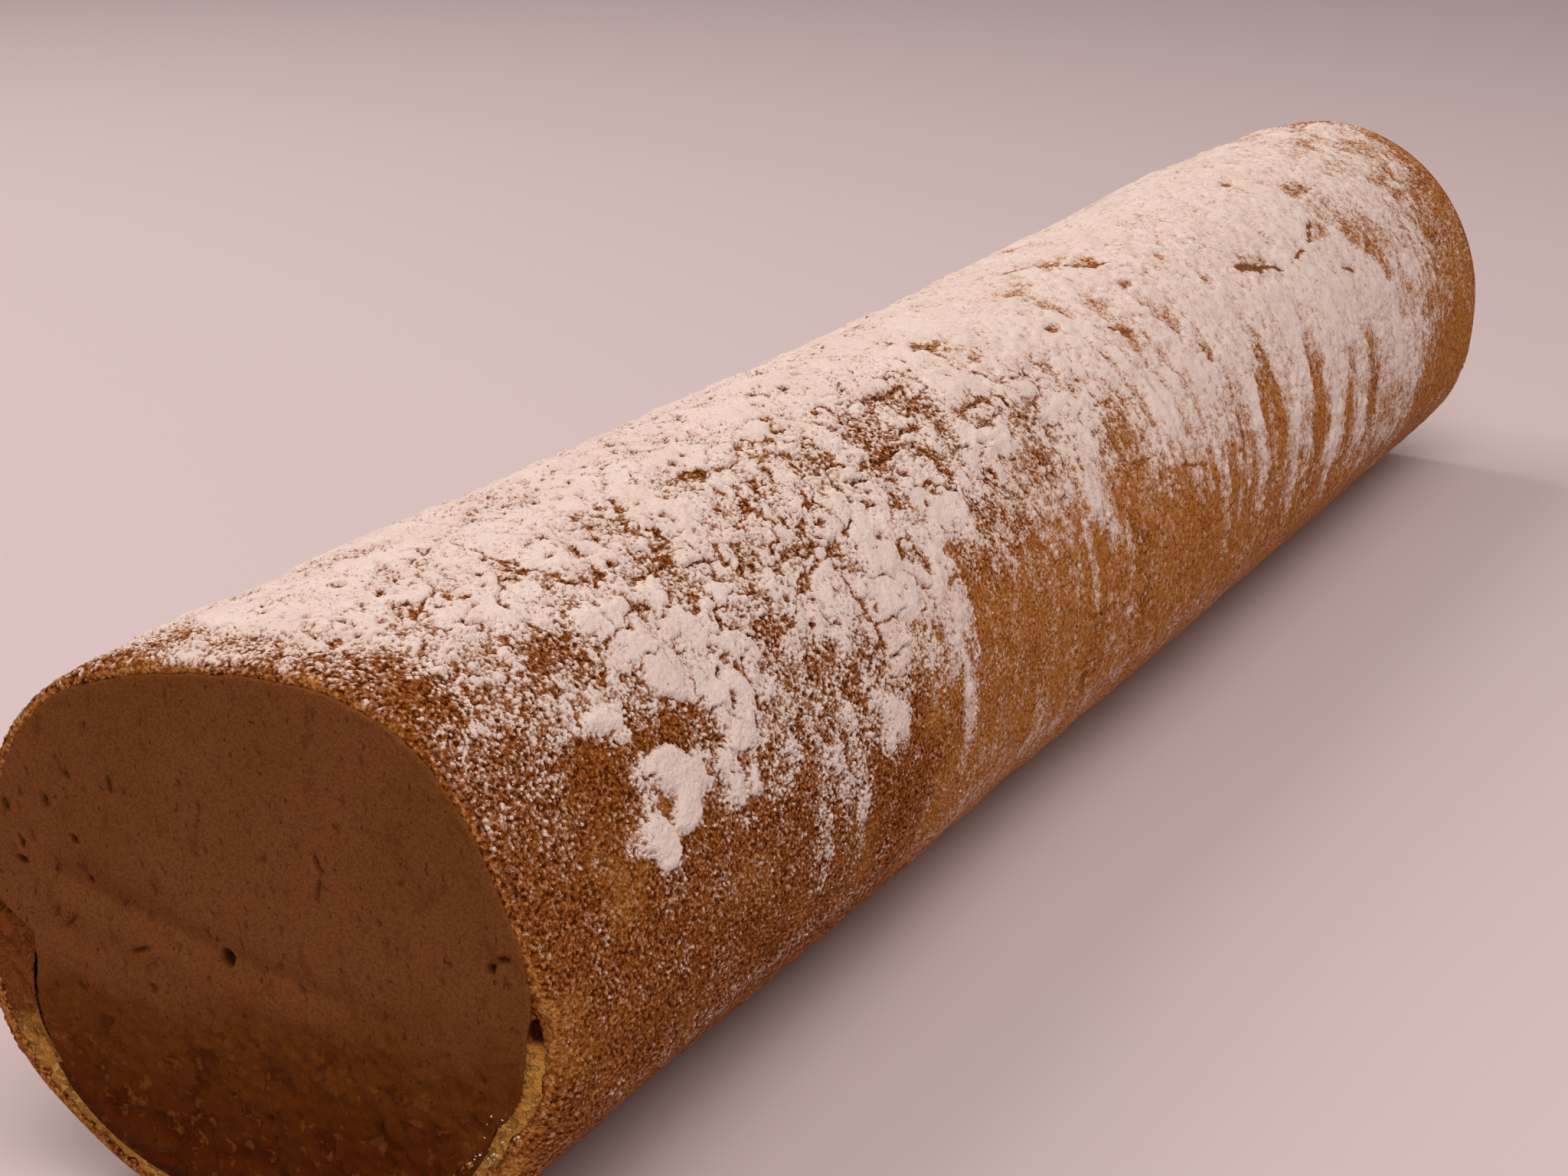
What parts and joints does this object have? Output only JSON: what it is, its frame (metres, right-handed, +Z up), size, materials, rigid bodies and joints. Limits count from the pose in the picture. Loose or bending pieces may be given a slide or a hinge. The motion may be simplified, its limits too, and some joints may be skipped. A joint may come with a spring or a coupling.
{
  "type": "swiss roll cake",
  "caption": "Long swiss roll: a thin plain sponge with a browned, sugar-dusted crust wrapped once round a thick chocolate truffle filling that shows at both cut ends.",
  "frame": {"origin": "middle of the settled underside, on the table, under the centre of the roll", "axes": "+X along the roll away from the cut face that the picture shows, +Y to the left as seen from that cut face's viewer, +Z up"},
  "size_m": [0.4057, 0.0799, 0.0813],
  "materials": {
    "sponge": "browned baked sponge crust with fine pores and pale icing sugar on the crown",
    "truffle": "smooth whipped chocolate truffle, levelled with a knife, soft low sheen"
  },
  "bodies": {
    "root": {"sponge": "sponge", "filling": "truffle"}
  },
  "joints": []
}
